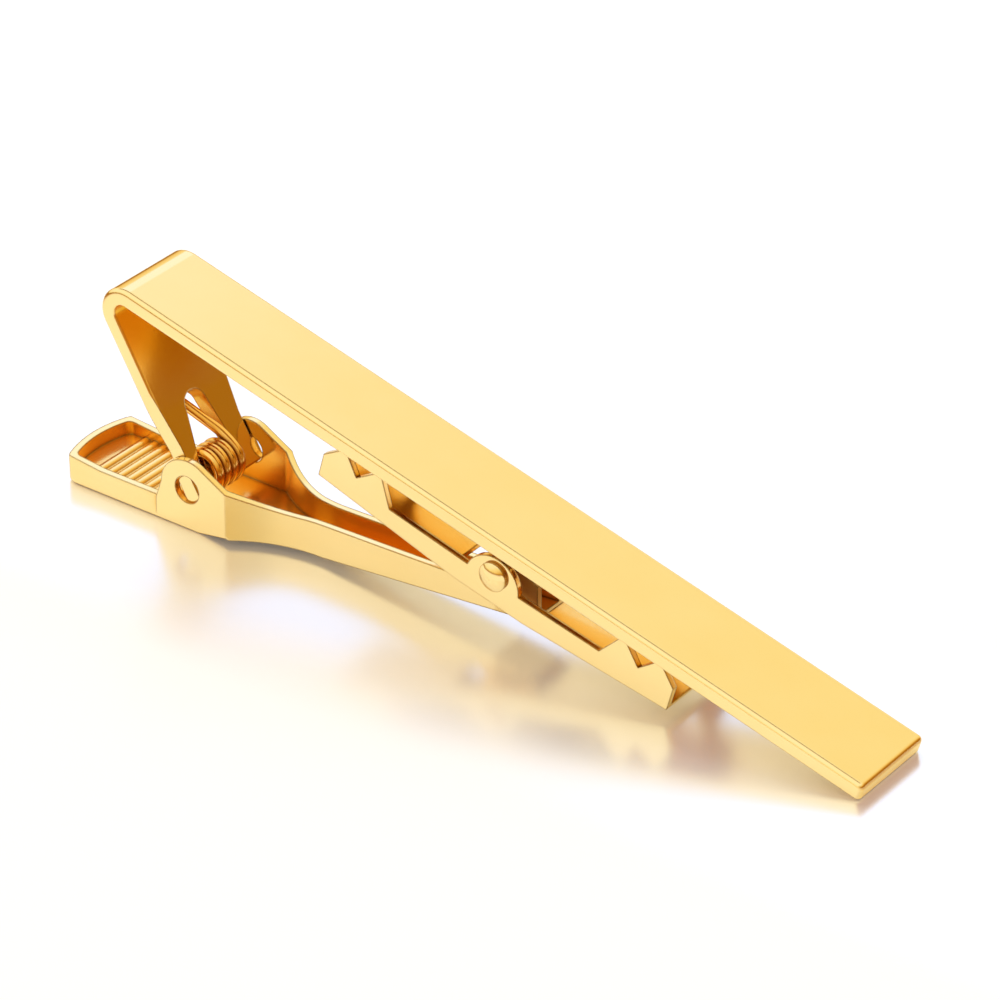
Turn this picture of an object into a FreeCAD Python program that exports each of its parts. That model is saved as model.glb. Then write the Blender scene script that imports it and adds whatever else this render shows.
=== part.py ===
"""Tie clip: a folded front bar, a sprung lever with a thumb tray, and a toothed jaw that rocks on the lever.

Millimetres, +Z up. The clip lies on its lever, with the tip of the front bar on the same surface.
The origin is on that surface, straight below the hinge. +X runs towards the bar's tip.
"""
import FreeCAD
import Part
import Sketcher

import math
import os
import re

Vector = FreeCAD.Vector
doc = FreeCAD.newDocument("tie_clip")

# Driving sizes, in millimetres, degrees or counts
SIZES = {
    # Front bar: a strip that is folded over into a leg at one end
    "bar_length": 58.0,
    "bar_width": 6.7,
    "strip_thickness": 1.1,
    "fold_radius": 0.65,
    "leg_angle": 45.0,
    "leg_reach": 11.73,
    "leg_taper_start": 6.5,
    "leg_taper_end": 2.6,
    "window_reach": 5.4,
    "window_top_radius": 0.97,
    "window_skew": -0.16,
    "window_far": 1.45,
    "bridge_low": 0.05,
    "bridge_high": 0.65,
    "tip_corner": 0.35,
    "bar_top_round": 0.3,
    "bar_under_round": 0.14,
    # Hinge: flattened stubs of the strip in round holes of the lever's ears
    "stub_radius": 0.9,
    "stub_inset": 0.18,
    "hinge_play": 0.05,
    "side_play": 0.09,
    # Lever: tray, ears and arm of one folded sheet
    "lever_width": 6.8,
    "lever_sheet": 0.45,
    "pivot_height": 2.95,
    "ear_radius": 2.08,
    "ear_front": 2.55,
    "ear_slope_top": 1.2,
    "tray_reach": 9.85,
    "tray_bulge": 0.7,
    "tray_corner": 0.9,
    "tray_wall": 1.55,
    "tray_rim": 1.85,
    "tray_lean": 0.3,
    "belly_drop": 0.35,
    "belly_end": 0.8,
    "tray_rim_length": 3.2,
    "tray_end_round": 0.8,
    "lever_edge_round": 0.3,
    "rib_count": 7,
    "rib_pitch": 0.76,
    "rib_width": 0.62,
    "rib_height": 0.17,
    "rib_start": 3.75,
    "shoulder_start": 3.0,
    "shoulder_length": 6.0,
    "shoulder_top": 3.65,
    "sweep_length": 4.2,
    "arm_width": 2.7,
    "arm_top": 2.65,
    "arm_rise": 5.2,
    "arm_top_rise": 1.7,
    "lug_radius": 1.25,
    "lug_half": 2.05,
    "lug_shoulder": 0.85,
    # Jaw: a channel with teeth at both ends
    "jaw_station": 31.2,
    "jaw_half_length": 13.4,
    "jaw_width": 6.0,
    "jaw_sheet": 0.42,
    "jaw_edge_round": 0.25,
    "jaw_depth": 2.08,
    "jaw_end_depth": 1.3,
    "jaw_floor_flat": 2.7,
    "jaw_end_height": 0.5,
    "tooth_height": 1.58,
    "tooth_land": 0.4,
    "tooth_outer": 12.05,
    "tooth_valley": 10.8,
    "tooth_valley_height": 0.35,
    "tooth_inner": 9.35,
    "tooth_foot": 8.05,
    "jaw_edge_end": 0.28,
    "jaw_edge_mid": 0.38,
    "boss_half": 1.95,
    "boss_top": 1.27,
    "jaw_window": 3.3,
    "jaw_window_play": 0.3,
    "bite_gap": 0.06,
    # Jaw rivet
    "rivet_radius": 0.55,
    "rivet_seat": 0.02,
    "rivet_play": 0.05,
    "rivet_head": 0.97,
    "rivet_rim": 0.2,
    "rivet_dome": 0.3,
    # Torsion spring
    "spring_wire": 0.55,
    "coil_radius": 1.27,
    "coil_rise": 0.47,
    "coil_back": 0.1,
    "coil_skew": -0.56,
    "coil_turns": 2,
    "coil_gap": 0.43,
    "coil_play": 0.1,
    "spring_touch": 0.05,
    "spring_hold": 4.65,
    "spring_arm_length": 5.6,
    "spring_arm_straight": 0.6,
    "spring_arm_bend": 2.0,
    "spring_arm_end": 0.4,
    "spring_foot_reach": 2.9,
}

# Places that follow from the sizes, each as a formula of the second sheet
LAYOUT = {
    "fold_outer": "fold_radius + strip_thickness",
    "fold_mid": "fold_radius + strip_thickness / 2",
    "fold_x": "fold_mid * sin(leg_angle) - leg_reach * cos(leg_angle)",
    "fold_z": "fold_mid * cos(leg_angle) + leg_reach * sin(leg_angle)",
    "bar_under": "fold_z + fold_radius",
    "bar_over": "fold_z + fold_outer",
    "bar_end": "fold_x - fold_outer",
    "tip_x": "bar_end + bar_length",
    "tilt": "(atan2(bar_under; tip_x) + asin(pivot_height / hypot(tip_x; bar_under))) / (1 deg)",
    "stub_flat": "sqrt(stub_radius ^ 2 - (strip_thickness / 2) ^ 2)",
    "bar_half": "bar_width / 2",
    "lever_half": "lever_width / 2",
    "lever_inner": "lever_half - lever_sheet",
    "floor_top": "belly_drop + lever_sheet",
    "foot_half": "lever_inner - side_play",
    "arm_half": "arm_width / 2",
    "arm_inner": "arm_half - lever_sheet",
    "arm_start": "shoulder_start + shoulder_length",
    "shoulder_drop": "lever_half - arm_half",
    "shoulder_radius": "(shoulder_length ^ 2 + shoulder_drop ^ 2) / (2 * shoulder_drop)",
    "crease_radius": "shoulder_radius + lever_sheet",
    "crease_inner": "arm_start - sqrt(2 * crease_radius * shoulder_drop - shoulder_drop ^ 2)",
    "tray_end_radius": "(lever_half ^ 2 + tray_bulge ^ 2) / (2 * tray_bulge)",
    "tray_end": "tray_reach + tray_bulge",
    "tray_blank": "tray_end + lever_sheet / 4",
    "tray_half": "lever_inner - tray_lean",
    "tray_chord": "sqrt((tray_end_radius - lever_sheet) ^ 2 - tray_half ^ 2)",
    "tray_inner": "tray_end - tray_end_radius + tray_chord",
    "rivet_u": "bar_end + jaw_station",
    "rivet_w": "bar_under - tooth_height - bite_gap",
    "rivet_x": "rivet_u * cos(tilt) + rivet_w * sin(tilt)",
    "rivet_z": "pivot_height - rivet_u * sin(tilt) + rivet_w * cos(tilt)",
    "arm_end": "rivet_x + lug_half",
    "arm_end_under": "belly_drop + (arm_end - arm_start) * tan(arm_rise)",
    "lug_foot": "arm_top + (rivet_x - lug_half - sweep_end) * tan(arm_top_rise)",
    "lug_side": "sqrt(lug_radius ^ 2 - (lug_shoulder / 3) ^ 2)",
    "sweep_end": "shoulder_start + sweep_length",
    "sweep_drop": "shoulder_top - arm_top",
    "sweep_radius": "(sweep_length ^ 2 + sweep_drop ^ 2) / (2 * sweep_drop)",
    "ear_slope_z": "pivot_height + sqrt(ear_radius ^ 2 - ear_slope_top ^ 2)",
    "jaw_half": "jaw_width / 2",
    "boss_rise": "boss_top + jaw_edge_mid",
    "boss_arc": "(boss_half ^ 2 + boss_rise ^ 2) / (2 * boss_rise)",
    "rivet_dome_arc": "(rivet_head ^ 2 + rivet_dome ^ 2) / (2 * rivet_dome)",
    "coil_z": "pivot_height + coil_rise",
    "foot_drop": "coil_z - floor_top - spring_wire / 2 - spring_touch",
    "foot_far": "hypot(spring_foot_reach; foot_drop)",
    "foot_way": "(atan2(foot_drop; spring_foot_reach) - asin(coil_radius / foot_far)) / (1 deg)",
    "leg_way": "180 - leg_angle - tilt",
    "edge_x": "spring_hold * cos(leg_way) - strip_thickness / 2 * sin(leg_way) + coil_back",
    "edge_z": "spring_hold * sin(leg_way) + strip_thickness / 2 * cos(leg_way) - coil_rise",
    "edge_far": "hypot(edge_x; edge_z)",
    "edge_turn": "asin((coil_radius + spring_wire / 2 + spring_touch) / edge_far) / (1 deg)",
    "edge_way": "atan2(edge_z; edge_x) / (1 deg)",
    "arm_way": "edge_way + edge_turn",
    "coil_winds": "coil_turns + (arm_way - foot_way) / 360",
    "coil_half": "((spring_wire + coil_gap) * coil_winds + spring_wire) / 2",
}


def named(expression):
    """Write a formula of bare names with the sheet that each name is on."""
    def with_sheet(match):
        word = match.group()
        return ("Sizes." if word in SIZES else "Layout." if word in LAYOUT else "") + word
    return re.sub(r"[a-z]\w*", with_sheet, expression)


def make_sheets():
    """Put the driving sizes on one sheet and the formulas that place things on another."""
    sizes = doc.addObject("Spreadsheet::Sheet", "Sizes")
    for row, (alias, value) in enumerate(SIZES.items(), start=1):
        sizes.set(f"A{row}", str(value))
        sizes.setAlias(f"A{row}", alias)
    layout = doc.addObject("Spreadsheet::Sheet", "Layout")
    for row, alias in enumerate(LAYOUT, start=1):
        layout.setAlias(f"A{row}", alias)
    for row, formula in enumerate(LAYOUT.values(), start=1):
        layout.set(f"A{row}", "=" + named(formula).replace("Layout.", ""))
    doc.recompute()
    return sizes


sizes = make_sheets()


def value(expression):
    """Work a formula out as a plain number."""
    found = sizes.evalExpression(named(expression))
    return float(getattr(found, "Value", found))


def bind(thing, prop, expression):
    """Tie a property to a formula of the named sizes."""
    thing.setExpression(prop, named(expression))


def new_body(label):
    """Start a sub-part whose features share one local frame."""
    body = doc.addObject("PartDesign::Body", label)
    body.Label = label
    return body


def new_sketch(body, name, role):
    """Lay a sketch on one of the body's own origin planes."""
    sketch = body.newObject("Sketcher::SketchObject", name)
    support = next(item for item in body.Origin.OriginFeatures if item.Role == role)
    sketch.AttachmentSupport = [(support, "")]
    sketch.MapMode = "FlatFace"
    return sketch


def fix_point(sketch, geometry, position, x, y):
    """Hold one end of a line or arc, or a centre, at formulas measured from the sketch's origin."""
    for kind, expression in (("DistanceX", x), ("DistanceY", y)):
        index = sketch.addConstraint(
            Sketcher.Constraint(kind, -1, 1, geometry, position, value(expression)))
        bind(sketch, f"Constraints[{index}]", expression)


def fix_radius(sketch, geometry, expression):
    """Hold the radius of an arc or circle at a formula."""
    index = sketch.addConstraint(Sketcher.Constraint("Radius", geometry, value(expression)))
    bind(sketch, f"Constraints[{index}]", expression)


def arc_between(start, end, radius, side):
    """Give the short arc from start to end whose centre lies on that side of the way along it."""
    chord = end - start
    across = Vector(-chord.y, chord.x, 0).normalize() * (1 if side == "left" else -1)
    centre = (start + end) / 2 + across * math.sqrt(max(radius ** 2 - (chord.Length / 2) ** 2, 0))
    first, last = (start, end) if side == "left" else (end, start)
    angles = [math.atan2(point.y - centre.y, point.x - centre.x) for point in (first, last)]
    return Part.ArcOfCircle(Part.Circle(centre, Vector(0, 0, 1), radius), *angles)


def outline(sketch, corners):
    """Draw a closed outline; a corner with a radius and a side starts an arc to the next corner."""
    points = [Vector(value(corner[0]), value(corner[1]), 0) for corner in corners]
    ends = []
    for corner, start, end in zip(corners, points, points[1:] + points[:1]):
        if len(corner) == 2:
            ends.append((sketch.addGeometry(Part.LineSegment(start, end)), 1, 2))
            continue
        arc = arc_between(start, end, value(corner[2]), corner[3])
        forward = corner[3] == "left"
        ends.append((sketch.addGeometry(arc), 1 if forward else 2, 2 if forward else 1))
    for (geometry, _, tail), (following, head, _) in zip(ends, ends[1:] + ends[:1]):
        sketch.addConstraint(Sketcher.Constraint("Coincident", geometry, tail, following, head))
    for corner, (geometry, head, _) in zip(corners, ends):
        fix_point(sketch, geometry, head, corner[0], corner[1])
        if len(corner) == 4:
            fix_radius(sketch, geometry, corner[2])


def disc(sketch, x, y, radius):
    """Draw a circle."""
    start = Part.Circle(Vector(value(x), value(y), 0), Vector(0, 0, 1), value(radius))
    geometry = sketch.addGeometry(start)
    fix_point(sketch, geometry, 3, x, y)
    fix_radius(sketch, geometry, radius)


def mirrored(corners):
    """Give the same corners on the other side of the middle plane, in the opposite order."""
    flipped = []
    for index, corner in enumerate(corners):
        before = corners[index - 1]
        flipped.append((corner[0], f"0 - ( {corner[1]} )") + tuple(before[2:]))
    return flipped[::-1]


def feature(body, kind, sketch, length=None, up=False):
    """Pad or pocket a sketch, evenly on both sides, or upwards only through everything."""
    made = body.newObject("PartDesign::" + kind, sketch.Name + "_" + kind.lower())
    made.Profile = sketch
    made.SideType = "One side" if up else "Symmetric"
    made.Reversed = up
    if length is None:
        made.Type = "ThroughAll"
    else:
        bind(made, "Length", length)
    doc.recompute()
    return made


def round_edges(body, name, radius, chosen):
    """Round the edges of the body's last solid that the test picks."""
    base = body.Tip
    edges = [f"Edge{i}" for i, edge in enumerate(base.Shape.Edges, start=1) if chosen(edge)]
    fillet = body.newObject("PartDesign::Fillet", name)
    fillet.Base = (base, edges)
    bind(fillet, "Radius", radius)
    doc.recompute()
    return fillet


def near(number, other):
    """Tell whether two measures are the same."""
    return abs(number - other) < 1e-4


def cut_leg(body, name, outlines):
    """Cut closed outlines, drawn on the leg's middle plane, through the leg."""
    plan = new_sketch(body, name, "XY_Plane")
    plan.AttachmentOffset = FreeCAD.Placement(
        Vector(), FreeCAD.Rotation(Vector(0, 1, 0), value("leg_angle")))
    bind(plan, "AttachmentOffset.Rotation.Angle", "leg_angle")
    for corners in outlines:
        outline(plan, corners)
    feature(body, "Pocket", plan, "3 * strip_thickness")


def make_front_bar():
    """The strip: a long front, a fold, and a leg with a window, two hinge stubs and a bridge between."""
    body = new_body("front_bar")
    face_x, face_z = "strip_thickness / 2 * sin(leg_angle)", "strip_thickness / 2 * cos(leg_angle)"
    along_x, along_z = "stub_flat * cos(leg_angle)", "stub_flat * sin(leg_angle)"
    outer_end = (f"{along_x} - {face_x}", f"0 - {along_z} - {face_z}", "stub_radius", "left")
    inner_end = (f"{along_x} + {face_x}", f"{face_z} - {along_z}")
    side = new_sketch(body, "bar_side", "XZ_Plane")
    outline(side, [
        ("tip_x", "bar_under"),
        ("tip_x", "bar_over"),
        ("fold_x", "bar_over", "fold_outer", "left"),
        ("fold_x - fold_outer * sin(leg_angle)", "fold_z - fold_outer * cos(leg_angle)"),
        outer_end,
        inner_end,
        ("fold_x - fold_radius * sin(leg_angle)", "fold_z - fold_radius * cos(leg_angle)",
         "fold_radius", "right"),
        ("fold_x", "bar_under"),
    ])
    feature(body, "Pad", side, "bar_width")
    tip = value("tip_x")
    round_edges(body, "tip_corners", "tip_corner", lambda edge: all(
        near(vertex.X, tip) for vertex in edge.Vertexes) and near(edge.Vertexes[0].Y, edge.Vertexes[1].Y))
    half = value("bar_half")
    for name, radius, level in (("bar_top_edges", "bar_top_round", value("bar_over")),
                                ("bar_under_edges", "bar_under_round", value("bar_under"))):
        round_edges(body, name, radius, lambda edge: all(
            near(abs(vertex.Y), half) and near(vertex.Z, level) for vertex in edge.Vertexes))

    tail = "stub_radius + strip_thickness"
    taper = [
        ("0 - leg_taper_start", "bar_half"),
        ("0 - leg_taper_end", "foot_half"),
        (tail, "foot_half"),
        (tail, "bar_half + strip_thickness"),
        ("0 - leg_taper_start", "bar_half + strip_thickness"),
    ]
    cut_leg(body, "leg_taper", [taper, mirrored(taper)])

    stubs = new_sketch(body, "stub_section", "XZ_Plane")
    outline(stubs, [
        outer_end,
        inner_end,
        (f"{face_x} - {along_x}", f"{along_z} + {face_z}", "stub_radius", "left"),
        (f"0 - {along_x} - {face_x}", f"{along_z} - {face_z}"),
    ])
    feature(body, "Pad", stubs, "lever_width - 2 * stub_inset")

    near_side = "coil_skew - coil_half - coil_play"
    shoulder = "window_top_radius - window_reach"
    window = [
        ("0 - window_reach", "window_skew", "window_top_radius", "right"),
        (shoulder, "window_skew + window_top_radius"),
        ("0 - bridge_high", "window_far"),
        ("0 - bridge_high", near_side),
        (shoulder, "window_skew - window_top_radius", "window_top_radius", "right"),
    ]
    notch = [
        ("0 - bridge_low", "window_far"),
        (tail, "window_far"),
        (tail, near_side),
        ("0 - bridge_low", near_side),
    ]
    cut_leg(body, "leg_window", [window, notch])
    return tilted(body, "0", "pivot_height")


def tilted(body, x, z):
    """Put a body that follows the front bar's slope at its place."""
    body.Placement = FreeCAD.Placement(
        Vector(value(x), 0, value(z)), FreeCAD.Rotation(Vector(0, 1, 0), value("tilt")))
    bind(body, "Placement.Base.x", x)
    bind(body, "Placement.Base.z", z)
    bind(body, "Placement.Rotation.Angle", "tilt")
    return body


def upright(x):
    """Give a test that picks the upright edges at one station."""
    station = value(x)
    return lambda edge: all(near(vertex.X, station) for vertex in edge.Vertexes) and near(
        edge.Vertexes[0].Y, edge.Vertexes[-1].Y)


def make_lever():
    """The sheet under the thumb: tray, ears with the hinge holes, and the arm with two lugs."""
    body = new_body("lever")
    side = new_sketch(body, "lever_side", "XZ_Plane")
    outline(side, [
        ("0 - tray_blank", "tray_end_round", "tray_end_round", "left"),
        ("tray_end_round - tray_blank", "0"),
        ("belly_end", "0"),
        ("shoulder_start", "belly_drop"),
        ("arm_start", "belly_drop"),
        ("arm_end", "arm_end_under"),
        ("arm_end", "rivet_z - lug_shoulder"),
        ("rivet_x + lug_side", "rivet_z - lug_shoulder / 3", "lug_radius", "left"),
        ("rivet_x", "rivet_z + lug_radius", "lug_radius", "left"),
        ("rivet_x - lug_side", "rivet_z - lug_shoulder / 3"),
        ("rivet_x - lug_half", "lug_foot"),
        ("sweep_end", "arm_top", "sweep_radius", "right"),
        ("shoulder_start", "shoulder_top"),
        ("ear_slope_top", "ear_slope_z", "ear_radius", "left"),
        ("0", "pivot_height + ear_radius", "ear_radius", "left"),
        ("0 - ear_radius", "pivot_height"),
        ("0 - ear_front", "tray_wall"),
        ("tray_rim_length - tray_end", "tray_wall"),
        ("0 - tray_blank", "tray_rim"),
    ])
    feature(body, "Pad", side, "lever_width")

    plan = new_sketch(body, "lever_plan", "XY_Plane")
    past = "arm_end + lever_half"
    shoulder = [
        ("shoulder_start", "lever_half", "shoulder_radius", "left"),
        ("arm_start", "arm_half"),
        (past, "arm_half"),
        (past, "2 * lever_half"),
        ("shoulder_start", "2 * lever_half"),
    ]
    outline(plan, shoulder)
    outline(plan, mirrored(shoulder))
    outline(plan, [
        ("0 - tray_reach", "lever_half", "tray_end_radius", "left"),
        ("0 - tray_reach", "0 - lever_half"),
        ("0 - tray_end - lever_half", "0 - lever_half"),
        ("0 - tray_end - lever_half", "lever_half"),
    ])
    feature(body, "Pocket", plan)
    round_edges(body, "tray_corners", "tray_corner", upright("0 - tray_reach"))

    hollow = new_sketch(body, "tray_hollow", "XY_Plane")
    hollow.AttachmentOffset = FreeCAD.Placement(Vector(0, 0, value("floor_top")), FreeCAD.Rotation())
    bind(hollow, "AttachmentOffset.Base.z", "floor_top")
    outline(hollow, [
        ("0 - tray_inner", "tray_half", "tray_end_radius - lever_sheet", "left"),
        ("0 - tray_inner", "0 - tray_half"),
        ("0 - ear_front", "0 - tray_half"),
        ("0 - ear_front", "0 - lever_inner"),
        ("crease_inner", "0 - lever_inner", "crease_radius", "right"),
        ("arm_start", "0 - arm_inner"),
        ("arm_start", "arm_inner", "crease_radius", "right"),
        ("crease_inner", "lever_inner"),
        ("0 - ear_front", "lever_inner"),
        ("0 - ear_front", "tray_half"),
    ])
    feature(body, "Pocket", hollow, up=True)
    round_edges(body, "tray_inner_corners", "tray_corner - lever_sheet", upright("0 - tray_inner"))

    channel = new_sketch(body, "arm_channel", "XY_Plane")
    channel.AttachmentOffset = FreeCAD.Placement(
        Vector(value("arm_start"), 0, value("floor_top")),
        FreeCAD.Rotation(Vector(0, -1, 0), value("arm_rise")))
    bind(channel, "AttachmentOffset.Base.x", "arm_start")
    bind(channel, "AttachmentOffset.Base.z", "floor_top")
    bind(channel, "AttachmentOffset.Rotation.Angle", "arm_rise")
    outline(channel, [
        ("0", "0 - arm_inner"),
        ("arm_end", "0 - arm_inner"),
        ("arm_end", "arm_inner"),
        ("0", "arm_inner"),
    ])
    feature(body, "Pocket", channel, up=True)

    bores = new_sketch(body, "lever_bores", "XZ_Plane")
    disc(bores, "0", "pivot_height", "stub_radius + hinge_play")
    disc(bores, "rivet_x", "rivet_z", "rivet_radius + rivet_play")
    feature(body, "Pocket", bores)

    rounded, low = value("lever_half"), value("belly_drop")
    round_edges(body, "lever_edges", "lever_edge_round", lambda edge: all(
        vertex.Z < low + 1e-4 and near(abs(vertex.Y), rounded) for vertex in edge.Vertexes))
    lean = new_sketch(body, "tray_sides", "YZ_Plane")
    lean.AttachmentOffset = FreeCAD.Placement(Vector(0, 0, -value("ear_front")), FreeCAD.Rotation())
    bind(lean, "AttachmentOffset.Base.z", "0 - ear_front")
    wedge = [
        ("lever_half", "lever_edge_round"),
        ("lever_half + lever_sheet", "lever_edge_round"),
        ("lever_half + lever_sheet", "2 * tray_rim"),
        ("lever_half - tray_lean * 2 * tray_rim / tray_wall", "2 * tray_rim"),
    ]
    outline(lean, wedge)
    outline(lean, [(f"0 - ( {corner[0]} )", corner[1]) for corner in wedge[::-1]])
    feature(body, "Pocket", lean, up=True).Reversed = False
    doc.recompute()
    add_ribs(body)
    return body


def add_ribs(body):
    """Pressed cross ribs of the thumb tray: each a ridge inside and a groove underneath."""
    arc = "( rib_width ^ 2 / 4 + rib_height ^ 2 ) / ( 2 * rib_height )"
    presses = []
    for name, kind, level, inset in (("rib", "Pad", "floor_top", "0"),
                                     ("groove", "Pocket", "0", "lever_edge_round")):
        sketch = new_sketch(body, name + "_section", "XZ_Plane")
        outline(sketch, [
            ("rib_width / 2 - rib_start", level, arc, "left"),
            ("0 - rib_start - rib_width / 2", level),
        ])
        presses.append(feature(body, kind, sketch, f"2 * ( tray_half - {inset} )"))
    pattern = body.newObject("PartDesign::LinearPattern", "rib_row")
    pattern.Originals = presses
    pattern.Direction = (presses[0].Profile[0], ["H_Axis"])
    pattern.Reversed = True
    bind(pattern, "Length", "rib_pitch * ( rib_count - 1 )")
    bind(pattern, "Occurrences", "rib_count")
    body.Tip = pattern
    doc.recompute()


def make_jaw():
    """The rocking channel: two toothed side plates on one floor with a window for the arm."""
    body = new_body("jaw")
    right = [
        ("jaw_floor_flat", "0 - jaw_depth"),
        ("jaw_half_length", "0 - jaw_end_depth"),
        ("jaw_half_length", "jaw_end_height"),
        ("tooth_outer + tooth_land / 2", "tooth_height"),
        ("tooth_outer - tooth_land / 2", "tooth_height"),
        ("tooth_valley", "tooth_valley_height"),
        ("tooth_inner + tooth_land / 2", "tooth_height"),
        ("tooth_inner - tooth_land / 2", "tooth_height"),
        ("tooth_foot", "0 - jaw_edge_end"),
        ("boss_half", "0 - jaw_edge_mid", "boss_arc", "left"),
    ]
    left = [(f"0 - ( {corner[0]} )", corner[1]) for corner in right[::-1]]
    side = new_sketch(body, "jaw_side", "XZ_Plane")
    outline(side, right + left)
    feature(body, "Pad", side, "jaw_width")

    hollow = new_sketch(body, "jaw_hollow", "XZ_Plane")
    floor = [
        ("jaw_floor_flat", "jaw_sheet - jaw_depth"),
        ("jaw_half_length", "jaw_sheet - jaw_end_depth"),
        ("jaw_half_length + jaw_depth", "jaw_sheet - jaw_end_depth"),
        ("jaw_half_length + jaw_depth", "2 * tooth_height"),
    ]
    outline(hollow, floor + [(f"0 - ( {corner[0]} )", corner[1]) for corner in floor[::-1]])
    feature(body, "Pocket", hollow, "jaw_width - 2 * jaw_sheet")

    window = new_sketch(body, "jaw_window_plan", "XY_Plane")
    opening = "arm_half + jaw_window_play"
    outline(window, [
        ("0 - jaw_window", f"0 - ( {opening} )"),
        ("jaw_window", f"0 - ( {opening} )"),
        ("jaw_window", opening),
        ("0 - jaw_window", opening),
    ])
    feature(body, "Pocket", window)

    seat = new_sketch(body, "rivet_holes", "XZ_Plane")
    disc(seat, "0", "0", "rivet_radius + rivet_seat")
    feature(body, "Pocket", seat)

    half = value("jaw_half")
    low = -value("jaw_end_depth")
    round_edges(body, "jaw_edges", "jaw_edge_round", lambda edge: all(
        vertex.Z < low + 1e-4 and near(abs(vertex.Y), half) for vertex in edge.Vertexes))
    return tilted(body, "rivet_x", "rivet_z")


def make_jaw_rivet():
    """The cross rivet: a shank with a domed head on each side plate of the jaw."""
    body = new_body("jaw_rivet")
    section = new_sketch(body, "rivet_section", "XY_Plane")
    outline(section, [
        ("0", "0 - jaw_half - rivet_rim - rivet_dome", "rivet_dome_arc", "left"),
        ("rivet_head", "0 - jaw_half - rivet_rim"),
        ("rivet_head", "0 - jaw_half"),
        ("rivet_radius", "0 - jaw_half"),
        ("rivet_radius", "jaw_half"),
        ("rivet_head", "jaw_half"),
        ("rivet_head", "jaw_half + rivet_rim", "rivet_dome_arc", "left"),
        ("0", "jaw_half + rivet_rim + rivet_dome"),
    ])
    turned = body.newObject("PartDesign::Revolution", "rivet_turned")
    turned.Profile = section
    turned.ReferenceAxis = (section, ["V_Axis"])
    turned.Angle = 360
    doc.recompute()
    return tilted(body, "rivet_x", "rivet_z")


def turn_start(point, heading, end):
    """Give the arc that leaves a point along a heading and reaches an end, and its heading there."""
    chord = end - point
    way = Vector(chord).normalize()
    lean = heading.getAngle(way)
    if lean < 1e-6:
        return Part.LineSegment(point, end).toShape(), heading
    aside = (heading - way * heading.dot(way)).normalize()
    crown = (point + end) / 2 + aside * (chord.Length / 2 * math.tan(lean / 2))
    return Part.Arc(point, crown, end).toShape(), way * (2 * heading.dot(way)) - heading


def biarc(start, heading, end, final):
    """Join two points with given headings by two tangent arcs."""
    span = end - start
    both = heading + final
    spread = 2 * (1 - heading.dot(final))
    reach = span.dot(both)
    arm = (math.sqrt(reach ** 2 + spread * span.dot(span)) - reach) / spread
    middle = (start + end + (heading - final) * arm) / 2
    first, turned = turn_start(start, heading, middle)
    second, _ = turn_start(middle, turned, end)
    return [first, second]


def bend_then_run(start, heading, end, radius):
    """Leave a point along a heading, turn on one arc of that radius and run straight to an end."""
    aim = end - start
    ahead = aim.dot(heading)
    aside = (aim - heading * ahead)
    apart = aside.Length
    aside.normalize()
    far = math.hypot(ahead, radius - apart)
    swing = math.atan2(ahead, radius - apart) - math.acos(radius / far)
    corner = start + heading * (radius * math.sin(swing)) + aside * (radius * (1 - math.cos(swing)))
    arc, _ = turn_start(start, heading, corner)
    return [arc, Part.LineSegment(corner, end).toShape()]


def spring_path():
    """The wire's middle line: foot on the tray's floor, coil round the hinge, arm through the window."""
    centre = Vector(-value("coil_back"), value("coil_skew"), value("coil_z"))
    radius = value("coil_radius")
    foot_way, arm_way = math.radians(value("foot_way")), math.radians(value("arm_way"))
    begin = foot_way - math.pi / 2
    finish = arm_way - math.pi / 2 + 2 * math.pi * value("coil_turns")
    climb = value("spring_wire + coil_gap") / (2 * math.pi)
    middle = (begin + finish) / 2

    def place(angle):
        return centre + Vector(radius * math.cos(angle), climb * (angle - middle), radius * math.sin(angle))

    def heading(angle):
        return Vector(-radius * math.sin(angle), climb, radius * math.cos(angle)).normalize()

    quarters = math.ceil((finish - begin) / (math.pi / 2))
    angles = [begin + (finish - begin) * step / quarters for step in range(quarters + 1)]
    tip = place(begin) - heading(begin) * math.sqrt(value("foot_far") ** 2 - radius ** 2)
    edges = [Part.LineSegment(tip, place(begin)).toShape()]
    for angle, following in zip(angles, angles[1:]):
        edges += biarc(place(angle), heading(angle), place(following), heading(following))
    leave = place(finish) + heading(finish) * value("spring_arm_straight")
    edges.append(Part.LineSegment(place(finish), leave).toShape())
    end = place(finish) + Vector(math.cos(arm_way), 0, math.sin(arm_way)) * value("spring_arm_length")
    end.y = -value("spring_arm_end")
    edges += bend_then_run(leave, heading(finish), end, value("spring_arm_bend"))
    return Part.Wire(edges)


def least_gap(path, wire):
    """Measure, on points, how near the wire comes to itself more than a third of a turn away."""
    step = wire / 6
    points = path.discretize(Distance=step)
    skip = int(2 * math.pi * value("coil_radius") / 3 / step)
    nearest = min(points[i].distanceToPoint(point)
                  for i in range(len(points)) for point in points[i + skip:])
    return nearest - wire


def make_torsion_spring():
    """The spring: one round wire swept along its path."""
    path = spring_path()
    wire = value("spring_wire")
    start = path.Edges[0]
    circle = Part.Circle(start.valueAt(start.FirstParameter), start.tangentAt(start.FirstParameter), wire / 2)
    spring = doc.addObject("Part::Feature", "torsion_spring")
    spring.Label = "torsion_spring"
    spring.Shape = path.makePipeShell([Part.Wire(circle.toShape())], True, False)
    spring.Placement = FreeCAD.Placement()
    swept = math.pi * wire ** 2 / 4 * path.Length
    print(f"spring: wire {path.Length:.2f} mm long, volume {spring.Shape.Volume:.3f} for {swept:.3f} mm3,"
          f" least gap to itself {least_gap(path, wire):.3f} mm")
    return spring


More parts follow.
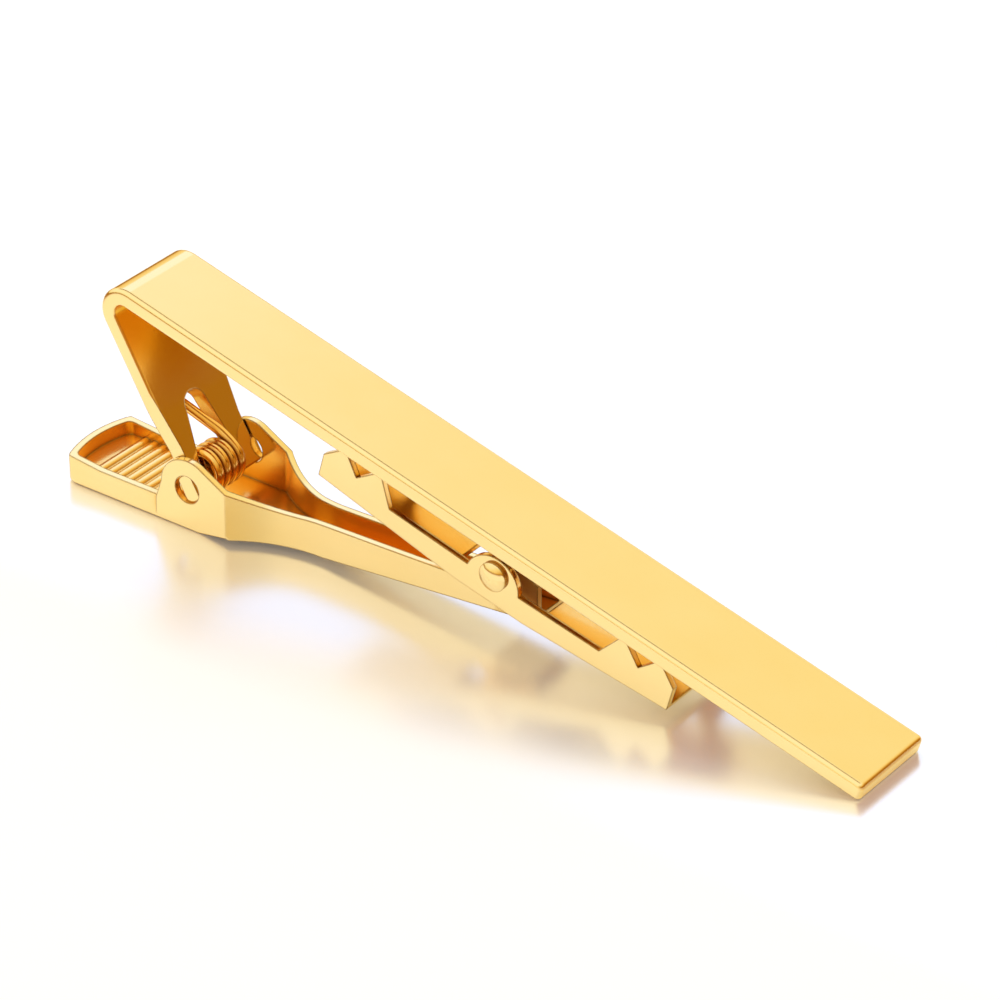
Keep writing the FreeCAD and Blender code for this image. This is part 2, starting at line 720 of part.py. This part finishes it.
def write_parts(parts):
    """Check every object and shape, then write each sub-part to its own file."""
    doc.recompute()
    failed = [item.Name for item in doc.Objects if {"Invalid", "Error"} & set(item.State)]
    if failed:
        raise RuntimeError(f"failed objects: {failed}")
    for part in parts:
        if part.Shape.isNull() or not part.Shape.isValid():
            raise RuntimeError(f"{part.Label}: bad shape")
    os.makedirs("parts", exist_ok=True)
    for part in parts:
        box = part.Shape.BoundBox
        part.Shape.exportStep(f"parts/{part.Label}.step")
        print(f"{part.Label}: {len(part.Shape.Solids)} solid, {part.Shape.Volume:.2f} mm3,"
              f" X {box.XMin:.2f} {box.XMax:.2f} Y {box.YMin:.2f} {box.YMax:.2f}"
              f" Z {box.ZMin:.2f} {box.ZMax:.2f}")


print(f"tilt {value('tilt'):.3f} deg, rivet at X {value('rivet_x'):.3f} Z {value('rivet_z'):.3f}")
write_parts([make_front_bar(), make_lever(), make_jaw(), make_jaw_rivet(), make_torsion_spring()])
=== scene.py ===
# %% [markdown]
# # A polished tie clip
# The clip is a folded bar, a sprung lever and a rocking jaw, all of thin plated sheet. The solids
# come from the packed model, in metres, at their real size and place. This lesson gives them their
# gold finish, winds the spring as tightly as the real one, and lights the clip on a pale table.

# %% Load the solids
import math

import bpy
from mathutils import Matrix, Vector


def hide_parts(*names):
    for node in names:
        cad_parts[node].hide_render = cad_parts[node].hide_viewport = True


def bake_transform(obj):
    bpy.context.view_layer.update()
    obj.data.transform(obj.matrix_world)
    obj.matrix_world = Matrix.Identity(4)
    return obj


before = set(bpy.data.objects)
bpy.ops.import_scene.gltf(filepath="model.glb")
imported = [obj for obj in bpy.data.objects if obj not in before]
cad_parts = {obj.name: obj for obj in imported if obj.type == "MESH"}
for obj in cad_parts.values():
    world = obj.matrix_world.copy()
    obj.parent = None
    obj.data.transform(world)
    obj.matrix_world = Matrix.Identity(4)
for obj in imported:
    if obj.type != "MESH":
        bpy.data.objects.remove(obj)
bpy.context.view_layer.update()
MM = 0.001
print("solids:", sorted(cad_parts))

# %% [markdown]
# ## The camera
# A small shiny thing is photographed from far away with a long lens, so that its near end isn't
# swollen. The camera stands in front of the clip on the right, 31 degrees up. A lens of 182 mm on
# a 36 mm sensor then fills the picture with the clip's length.

# %% Set the camera
LENS, SENSOR = 182.0, 36.0
CAMERA_PLACE = Vector((173.63, -210.36, 165.10))
CAMERA_TURN = (58.887, -0.560, 36.198)
NEAREST_SEEN = 10.0

camera_data = bpy.data.cameras.new("long_lens")
camera_data.lens = LENS
camera_data.sensor_width = SENSOR
camera_data.clip_start = NEAREST_SEEN * MM
camera = bpy.data.objects.new("long_lens", camera_data)
bpy.context.scene.collection.objects.link(camera)
camera.location = CAMERA_PLACE * MM
camera.rotation_euler = [math.radians(turn) for turn in CAMERA_TURN]
bpy.context.scene.camera = camera
print("camera is", round(CAMERA_PLACE.length), "mm from the hinge's foot")

# %% [markdown]
# ## Writing shader maths as Python
# A finish is a small network of nodes. One class wraps a node's output: plus, minus and times on it
# add Math nodes, and its method `node` adds any other node with its settings and inputs. A finish
# then reads as a formula. Three steps come again and again, so they get a name each: blending two
# colours, and a rise from nought to one, either straight or smooth.

# %% A socket that does arithmetic
class Signal:
    """One output of a shader node, which can be used in sums."""

    def __init__(self, tree, socket):
        self.tree = tree
        self.socket = socket

    def node(self, kind, settings=None, inputs=None, output=0):
        """Add a node: its settings first, then the values or links of its sockets."""
        made = self.tree.nodes.new(kind)
        for name, setting in (settings or {}).items():
            if name == "stops":
                fill_ramp(made.color_ramp, setting)
            else:
                setattr(made, name, setting)
        for name, given in (inputs or {}).items():
            if isinstance(given, Signal):
                self.tree.links.new(given.socket, made.inputs[name])
            else:
                made.inputs[name].default_value = given
        return Signal(self.tree, made.outputs[output])

    def math(self, operation, first, second):
        return self.node("ShaderNodeMath", {"operation": operation}, {0: first, 1: second})

    def __add__(self, other):
        return self.math("ADD", self, other)

    def __mul__(self, other):
        return self.math("MULTIPLY", self, other)

    def __sub__(self, other):
        return self.math("SUBTRACT", self, other)

    def __rsub__(self, other):
        return self.math("SUBTRACT", other, self)

    __radd__ = __add__
    __rmul__ = __mul__


def fill_ramp(ramp, stops):
    """Give a colour ramp its stops, each a position and a colour."""
    while len(ramp.elements) < len(stops):
        ramp.elements.new(1.0)
    for element, (position, colour) in zip(ramp.elements, stops):
        element.position = position
        element.color = rgba(colour)


def rgba(colour):
    """A colour as a socket takes it, with full cover."""
    return (*colour, 1.0)


print("a Signal can do:", [name for name in vars(Signal) if callable(getattr(Signal, name))])

# %% Three steps with a name
def mix(share, first, second):
    """Blend two colours by a signal."""
    return share.node("ShaderNodeMix", {"data_type": "RGBA"},
                      {"Factor": share, 6: first, 7: second}, output=2)


def rise(signal, low, high):
    """Nought at one value, one at another, straight between."""
    return signal.node("ShaderNodeMapRange", None,
                       {"Value": signal, "From Min": low, "From Max": high})


def step_up(signal, low, high):
    """Nought below one value, one above another, smooth between."""
    return signal.node("ShaderNodeMapRange", {"interpolation_type": "SMOOTHSTEP"},
                       {"Value": signal, "From Min": low, "From Max": high})


def start_material(name):
    """Make a material; give it, its main shader and a signal of the piece's own coordinates."""
    material = bpy.data.materials.new(name)
    material.use_nodes = True
    tree = material.node_tree
    place = tree.nodes.new("ShaderNodeTexCoord")
    return material, tree.nodes["Principled BSDF"], Signal(tree, place.outputs["Object"])


print("steps:", [step.__name__ for step in (mix, rise, step_up)])

# %% [markdown]
# ## Hollows, corners and edges
# The beads of a polishing barrel don't reach into hollows, so the plating there stays a little
# matt. Its colour there is also made deeper, which is painted shade, and the corners get a dark
# painted shade. Painting that by hand would be slow: one Ambient Occlusion node with a long reach
# finds the hollows, one with a short reach the corners. Every cut edge was tumbled round, which the
# Bevel node shows without new faces; where its normal leaves the true one there is an edge, and a
# thin painted dark line that stands in for the dark reflection along the rounded edge.

# %% Find hollows, corners and edges
OPEN_TO_SKY = 0.97
CORNER_REACH, CORNER_STARTS, CORNER_DEEPEST = 0.45, 0.85, 0.45
EDGE_STARTS, EDGE_MIDDLE = 0.97, 0.82


def openness(place, reach, samples, alone):
    """How much of the room a spot sees within a reach in mm, past its own piece or past all."""
    return place.node("ShaderNodeAmbientOcclusion", {"samples": samples, "only_local": alone},
                      {"Distance": reach * MM}, output="AO")


def find_hollow(place, reach, deepest, alone):
    return rise(openness(place, reach, 8, alone), OPEN_TO_SKY, deepest)


def find_corner(place, alone):
    return rise(openness(place, CORNER_REACH, 6, alone), CORNER_STARTS, CORNER_DEEPEST)


def round_edges(place, radius):
    """The normal of edges rounded by a radius in mm, and a signal of where those edges are."""
    rounded = place.node("ShaderNodeBevel", {"samples": 6}, {"Radius": radius * MM})
    true_normal = place.node("ShaderNodeNewGeometry", output="True Normal")
    agreement = place.node("ShaderNodeVectorMath", {"operation": "DOT_PRODUCT"},
                           {0: rounded, 1: true_normal}, output=1)
    return rounded, rise(agreement, EDGE_STARTS, EDGE_MIDDLE)


print("corners are found within", CORNER_REACH, "mm")

# %% [markdown]
# ## The gold finish
# Plated brass that was barrel-polished is a mirror: the colour is in its reflections, so it is
# metallic, and a little less so in the hollows. Up close it isn't perfect. Polishing leaves hair
# lines along the strip, the plating is a touch redder in places, and the pressed sheet has a faint
# ripple. Noise at three sizes gives these. The end of the lever's arm, which the jaw rocks on, is
# rubbed matt.

# %% Make one gold finish
PATCHES, RIPPLES, HAIR_LINES = 220.0, 700.0, (300.0, 6000.0, 6000.0)
# Painted shade for corners, where faces and pieces meet.
CORNER_PAINTED_SHADE, CORNER_SHADE_SHARE = (0.40, 0.18, 0.03), 0.75
# A painted dark line along rounded edges, in place of their dark reflection.
EDGE_PAINTED_LINE, EDGE_LINE_SHARE = (0.22, 0.11, 0.02), 0.9
LINE_HEIGHT, LINE_ROUGHNESS = 0.15, 0.1
HOLLOW_ROUGHNESS, HOLLOW_DULLNESS, RUBBED_ROUGHNESS = 0.12, 0.15, 0.5
RIPPLE_STRENGTH, RIPPLE_HEIGHT = 0.05, 0.02
RUB_FADE, NOWHERE = 0.5, 100.0


def gold(name, shades, rough, edge, reach, deepest=0.68, alone=True, rubbed_from=NOWHERE):
    """Polished plating: two shades, hair lines, painted shade in hollows and corners, round edges
    with painted dark lines.
    """
    material, shader, place = start_material(name)
    pale, deep, painted_hollow_shade = [rgba(shade) for shade in shades]
    hollow = find_hollow(place, reach, deepest, alone)
    rounded, painted_edge_line = round_edges(place, edge)

    patches = place.node("ShaderNodeTexNoise", None,
                         {"Vector": place, "Scale": PATCHES, "Detail": 2.0})
    # Deeper colour in hollows is painted shade where the AO node finds little of the room.
    hollow_shaded = mix(hollow, mix(patches, pale, deep), painted_hollow_shade)
    # Dark brown in corners is painted shade where faces and pieces meet.
    corner_shaded = mix(find_corner(place, alone) * CORNER_SHADE_SHARE, hollow_shaded, rgba(CORNER_PAINTED_SHADE))
    # A painted dark line along rounded edges stands in for their dark reflection.
    colour = mix(painted_edge_line * EDGE_LINE_SHARE, corner_shaded, rgba(EDGE_PAINTED_LINE))

    along = place.node("ShaderNodeMapping", None, {"Vector": place, "Scale": HAIR_LINES})
    lines = place.node("ShaderNodeTexNoise", None, {"Vector": along, "Scale": 1.0, "Detail": 3.0})
    length = place.node("ShaderNodeSeparateXYZ", None, {0: place}, output=0)
    rubbed = step_up(length, rubbed_from * MM, (rubbed_from + RUB_FADE) * MM)
    roughness = rough + (lines - 0.5) * LINE_ROUGHNESS + hollow * HOLLOW_ROUGHNESS
    roughness = roughness + rubbed * RUBBED_ROUGHNESS

    ripple = place.node("ShaderNodeTexNoise", None,
                        {"Vector": place, "Scale": RIPPLES, "Detail": 1.0})
    surface = place.node("ShaderNodeBump", None, {
        "Strength": RIPPLE_STRENGTH, "Distance": RIPPLE_HEIGHT * MM,
        "Height": ripple + lines * LINE_HEIGHT, "Normal": rounded})

    links = material.node_tree.links
    links.new(colour.socket, shader.inputs["Base Color"])
    links.new(roughness.socket, shader.inputs["Roughness"])
    links.new(surface.socket, shader.inputs["Normal"])
    links.new((1.0 - hollow * HOLLOW_DULLNESS).socket, shader.inputs["Metallic"])
    shader.inputs["Specular IOR Level"].default_value = 0.0
    return material


# The edge share printed here is that of the painted dark edge line.
print("edge wear covers", EDGE_LINE_SHARE, "of the plating at an edge")

# %% Finish the five pieces
PALE, DEEP = (1.0, 0.79, 0.38), (1.0, 0.75, 0.32)
# The third shade of each piece is the painted shade in its hollows.
BAR_SHADES = PALE, DEEP, (0.85, 0.42, 0.02)
LEVER_SHADES = PALE, DEEP, (0.95, 0.50, 0.06)
JAW_SHADES = PALE, DEEP, (1.0, 0.48, 0.01)
RIVET_SHADES = PALE, DEEP, (0.45, 0.20, 0.03)
WIRE_SHADES = (0.98, 0.62, 0.18), (0.95, 0.55, 0.13), (0.60, 0.26, 0.04)
ARM_END = 22.0

finishes = {
    "front_bar": gold("polished_bar_gold", BAR_SHADES, rough=0.11, edge=0.14, reach=6.0),
    "lever": gold("polished_lever_gold", LEVER_SHADES, rough=0.11, edge=0.18, reach=4.0,
                  rubbed_from=ARM_END),
    "jaw": gold("polished_jaw_gold", JAW_SHADES, rough=0.11, edge=0.18, reach=9.0, deepest=0.80),
    # The rivet's AO also sees the jaw, so its dark hollow shade paints a shaded ring round the head.
    "jaw_rivet": gold("polished_rivet_gold", RIVET_SHADES, rough=0.10, edge=0.16, reach=0.5,
                      alone=False),
    "torsion_spring": gold("drawn_wire_gold", WIRE_SHADES, rough=0.16, edge=0.02, reach=0.5),
}
for node, finish in finishes.items():
    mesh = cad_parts[node].data
    mesh.materials.clear()
    mesh.materials.append(finish)
print("finishes:", [finish.name for finish in finishes.values()])

# %% [markdown]
# ## The spring
# The real spring is close-wound: its turns touch. The solid has open turns, because turns that
# touch can't be tested, so it gets a fuller piece on the same line. A wire is easiest as a curve
# with a round bevel: a foot on the tray's floor, a helix round the hinge, and an arm that leaves
# the last turn and runs up through the leg's window. A NURBS curve cuts inside its control points,
# so the helix of points is a little larger than the coil.

# %% The line of the wire
COIL_CENTRE = Vector((-0.1, -0.56, 3.42))
COIL_RADIUS, COIL_LENGTH, WIRE = 1.25, 2.36, 0.68
FOOT_ANGLE, ARM_ANGLE = math.radians(-71.7), math.radians(61.8 + 3 * 360.0)
FOOT_TIP = Vector((-2.97, -2.10, 1.17))
ARM_BEND, ARM_TIP = Vector((-0.50, 0.62, 5.15)), Vector((-4.10, -0.50, 7.45))
FOOT_SHARES, ARM_SHARES = (0.0, 0.4, 0.8), (0.0, 0.1, 0.5, 1.0)
POINTS_A_TURN = 16

sweep = ARM_ANGLE - FOOT_ANGLE
point_step = math.tau / POINTS_A_TURN
point_radius = COIL_RADIUS * 3 / (2 + math.cos(point_step))
point_count = round(sweep / point_step)


def on_coil(share):
    """The control point at a share of the helix."""
    angle = FOOT_ANGLE + sweep * share
    return COIL_CENTRE + Vector((point_radius * math.cos(angle), COIL_LENGTH * (share - 0.5),
                                 point_radius * math.sin(angle)))


turns = [on_coil(index / point_count) for index in range(point_count + 1)]
foot_run = [FOOT_TIP.lerp(turns[0], share) for share in FOOT_SHARES]
arm_run = [ARM_BEND.lerp(ARM_TIP, share) for share in ARM_SHARES]
wire_points = foot_run + turns + arm_run
print("wire:", len(wire_points), "points,", round(sweep / math.tau, 2), "turns")

# %% Wind it
SMOOTH_BELOW = math.radians(50.0)

bpy.ops.object.select_all(action="DESELECT")
bpy.ops.curve.primitive_nurbs_path_add(location=(0.0, 0.0, 0.0))
spring = bpy.context.object
spring.name = "close_wound_spring"
path = spring.data.splines[0]
path.points.add(len(wire_points) - len(path.points))
for point, spot in zip(path.points, wire_points):
    point.co = (*(spot * MM), 1.0)
path.order_u = 4
path.use_endpoint_u = True
path.resolution_u = 4
spring.data.dimensions = "3D"
spring.data.bevel_depth = WIRE / 2 * MM
spring.data.bevel_resolution = 6
spring.data.use_fill_caps = True
bpy.ops.object.convert(target="MESH")
spring = bpy.context.object
spring.data.materials.clear()
spring.data.materials.append(finishes["torsion_spring"])
bpy.ops.object.shade_smooth_by_angle(angle=SMOOTH_BELOW)
print("spring:", len(spring.data.polygons), "faces")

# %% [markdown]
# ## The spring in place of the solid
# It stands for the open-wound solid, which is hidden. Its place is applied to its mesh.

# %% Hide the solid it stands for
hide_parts("torsion_spring")
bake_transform(spring)
print("spring stands for torsion_spring")

# %% [markdown]
# ## The table
# The clip lies on white acrylic: pale, and glossy enough to show a blurred image of the gold near
# the places where it touches. A white diffuse surface is mixed with a soft white mirror, less and
# less of it to either side of the clip's line, where the image of the upper parts would be only a
# haze. The camera should see a white backdrop, so Light Path's Is Camera Ray mixes in some. The gold
# should mirror a bright table close by and a dim room farther off, so in reflections, which Is
# Glossy Ray finds, the table turns brown away from the clip.

# %% The table's finish
MATT_WHITE, MIRROR_WHITE, MIRROR_BLUR = (0.96, 0.96, 0.96), (1.0, 1.0, 1.0), 0.25
MIRROR_NEAR, MIRROR_FAR = 0.65, 0.03
MIRROR_FADES, MIRROR_GONE = 6.0, 16.0
BACKDROP_SHARE = 0.1
DIM_ROOM, CLIP_MIDDLE = (0.42, 0.20, 0.03), (18.0 * MM, 0.0, 0.0)
ROOM_STARTS, ROOM_ONLY = 45.0, 90.0

acrylic, main_shader, place = start_material("white_acrylic")
tree = acrylic.node_tree
tree.nodes.remove(main_shader)
matt = place.node("ShaderNodeBsdfDiffuse", None, {"Color": rgba(MATT_WHITE)})
mirror = place.node("ShaderNodeBsdfGlossy", None,
                    {"Color": rgba(MIRROR_WHITE), "Roughness": MIRROR_BLUR})
across = place.node("ShaderNodeSeparateXYZ", None, {0: place}, output=1)
beside = step_up(place.math("ABSOLUTE", across, 0.0), MIRROR_FADES * MM, MIRROR_GONE * MM)
gloss = MIRROR_NEAR + beside * (MIRROR_FAR - MIRROR_NEAR)
plain = place.node("ShaderNodeMixShader", None, {"Fac": gloss, 1: matt, 2: mirror})

seen = place.node("ShaderNodeLightPath", output="Is Camera Ray")
white = place.node("ShaderNodeEmission", None, {"Strength": 1.0})
bright = place.node("ShaderNodeMixShader", None, {"Fac": seen * BACKDROP_SHARE, 1: plain, 2: white})

reflected = place.node("ShaderNodeLightPath", output="Is Glossy Ray")
away = place.node("ShaderNodeVectorMath", {"operation": "DISTANCE"},
                  {0: place, 1: CLIP_MIDDLE}, output=1)
far = step_up(away, ROOM_STARTS * MM, ROOM_ONLY * MM)
dim = place.node("ShaderNodeEmission", None, {"Color": rgba(DIM_ROOM), "Strength": 1.0})
surface = place.node("ShaderNodeMixShader", None, {"Fac": reflected * far, 1: bright, 2: dim})
tree.links.new(surface.socket, tree.nodes["Material Output"].inputs["Surface"])
print("table finish:", acrylic.name, "with", len(tree.nodes), "nodes")

# %% Lay the table
TABLE_SIZE, TABLE_GAP = 4000.0, 0.02

bpy.ops.object.select_all(action="DESELECT")
bpy.ops.mesh.primitive_plane_add(size=TABLE_SIZE * MM, location=(0.0, 0.0, -TABLE_GAP * MM))
table = bpy.context.object
table.name = "white_table"
table.data.materials.append(acrylic)
print("table:", table.name)

# %% [markdown]
# ## The light
# Metal shows its surroundings, so the room is what the gold looks like. Two skies are mixed by
# Light Path. One lights the table: cool from behind and warm from the front, so that the shadow,
# which the light from behind doesn't reach, is golden. The other is what reflections see: pale walls
# that are brown low down and to the right, a window behind the clip on the left, overhead a dark gap
# between the front and back lights, and a faint dark flag in front on the right. The gap draws the
# thin dark line along the edge of each flat face, and the low brown fills the hollows.

# %% What lights the table
WARM_FRONT, COOL_BACK = (1.00, 0.77, 0.48), (0.80, 0.91, 1.07)

world = bpy.data.worlds.new("soft_studio")
bpy.context.scene.world = world
world.use_nodes = True
tree = world.node_tree
direction = Signal(tree, tree.nodes.new("ShaderNodeTexCoord").outputs["Generated"])
aside, depth, height = [direction.node("ShaderNodeSeparateXYZ", None, {0: direction}, output=axis)
                        for axis in range(3)]
table_sky = direction.node("ShaderNodeValToRGB", {"stops": [(0.30, WARM_FRONT), (0.70, COOL_BACK)]},
                           {"Fac": depth * 0.5 + 0.5})
print("sky:", world.name)

# %% The walls that the gold reflects
WALL_STOPS = [
    (0.00, (0.40, 0.17, 0.010)), (0.16, (0.52, 0.22, 0.014)), (0.30, (0.66, 0.36, 0.06)),
    (0.46, (0.88, 0.62, 0.25)), (0.58, (0.98, 0.80, 0.44)), (0.68, (1.0, 0.87, 0.48)),
    (0.82, (1.0, 0.98, 0.84)), (1.00, (1.12, 1.10, 1.04))]
DARKER_RIGHT, PALER_FRONT, PALER_BACK = 0.5, 0.25, 2.0
MIDDLE_DEPTH, BACK_DEPTH = 0.69, 0.72

behind = direction.math("MAXIMUM", depth - BACK_DEPTH, 0.0)
paleness = height - aside * DARKER_RIGHT + (MIDDLE_DEPTH - depth) * PALER_FRONT
walls = direction.node("ShaderNodeValToRGB", {"stops": WALL_STOPS},
                       {"Fac": paleness + behind * PALER_BACK})
print("walls:", len(WALL_STOPS), "shades")

# %% The window, the gap and the flag
WINDOW_WAY, WINDOW_LIGHT = (-0.48, 0.66, 0.58), (1.10, 1.2, 1.55)
GAP_SHADE, GAP_SHARE = (0.30, 0.17, 0.05), 0.85
FLAG_WAY, FLAG_SHADE, FLAG_SHARE = (0.50, -0.69, 0.52), (0.14, 0.08, 0.03), 0.2


def towards(way):
    """One where the view looks along a way, less beside it."""
    return direction.node("ShaderNodeVectorMath", {"operation": "DOT_PRODUCT"},
                          {0: direction, 1: way}, output=1)


window = step_up(towards(WINDOW_WAY), 0.955, 0.990)
room = mix(window, walls, rgba(WINDOW_LIGHT))
gap = step_up(depth, 0.08, 0.18) * (1.0 - step_up(depth, 0.42, 0.54))
gap = gap * step_up(height, 0.45, 0.65) * (1.0 - step_up(aside, -0.05, 0.15))
gapped = mix(gap * GAP_SHARE, room, rgba(GAP_SHADE))
flag = step_up(towards(FLAG_WAY), 0.82, 0.96)
shaded = mix(flag * FLAG_SHARE, gapped, rgba(FLAG_SHADE))
print("window looks along", WINDOW_WAY)

# %% Which ray sees which sky
reflected = direction.node("ShaderNodeLightPath", output="Is Glossy Ray")
seen = direction.node("ShaderNodeLightPath", output="Is Camera Ray")
lit = mix(reflected, table_sky, shaded)
shown = mix(seen, lit, rgba((1.0, 1.0, 1.0)))
background = tree.nodes["Background"]
tree.links.new(shown.socket, background.inputs["Color"])
background.inputs["Strength"].default_value = 1.0
print("world:", len(tree.nodes), "nodes")

# %% [markdown]
# ## The shadow
# A sky alone gives hardly any shadow, and the clip would seem to float. One broad lamp behind it on
# the left casts a soft one. The gold doesn't mirror the lamp, because the window is already there.

# %% A soft lamp for the shadow
LAMP_PLACE, LAMP_SIZE, LAMP_WATTS = Vector((-225.0, 175.0, 410.0)), 180.0, 0.9

lamp_data = bpy.data.lights.new("back_softbox", "AREA")
lamp_data.size = LAMP_SIZE * MM
lamp_data.energy = LAMP_WATTS
lamp = bpy.data.objects.new("back_softbox", lamp_data)
bpy.context.scene.collection.objects.link(lamp)
lamp.location = LAMP_PLACE * MM
lamp.rotation_euler = (-LAMP_PLACE).to_track_quat("-Z", "Y").to_euler()
lamp.visible_glossy = False
print("lamp:", lamp.name, "of", LAMP_WATTS, "W")

# %% [markdown]
# ## The view
# The Standard view shows a colour as it was written.

# %% Keep the picture plain
bpy.context.scene.view_settings.view_transform = "Standard"
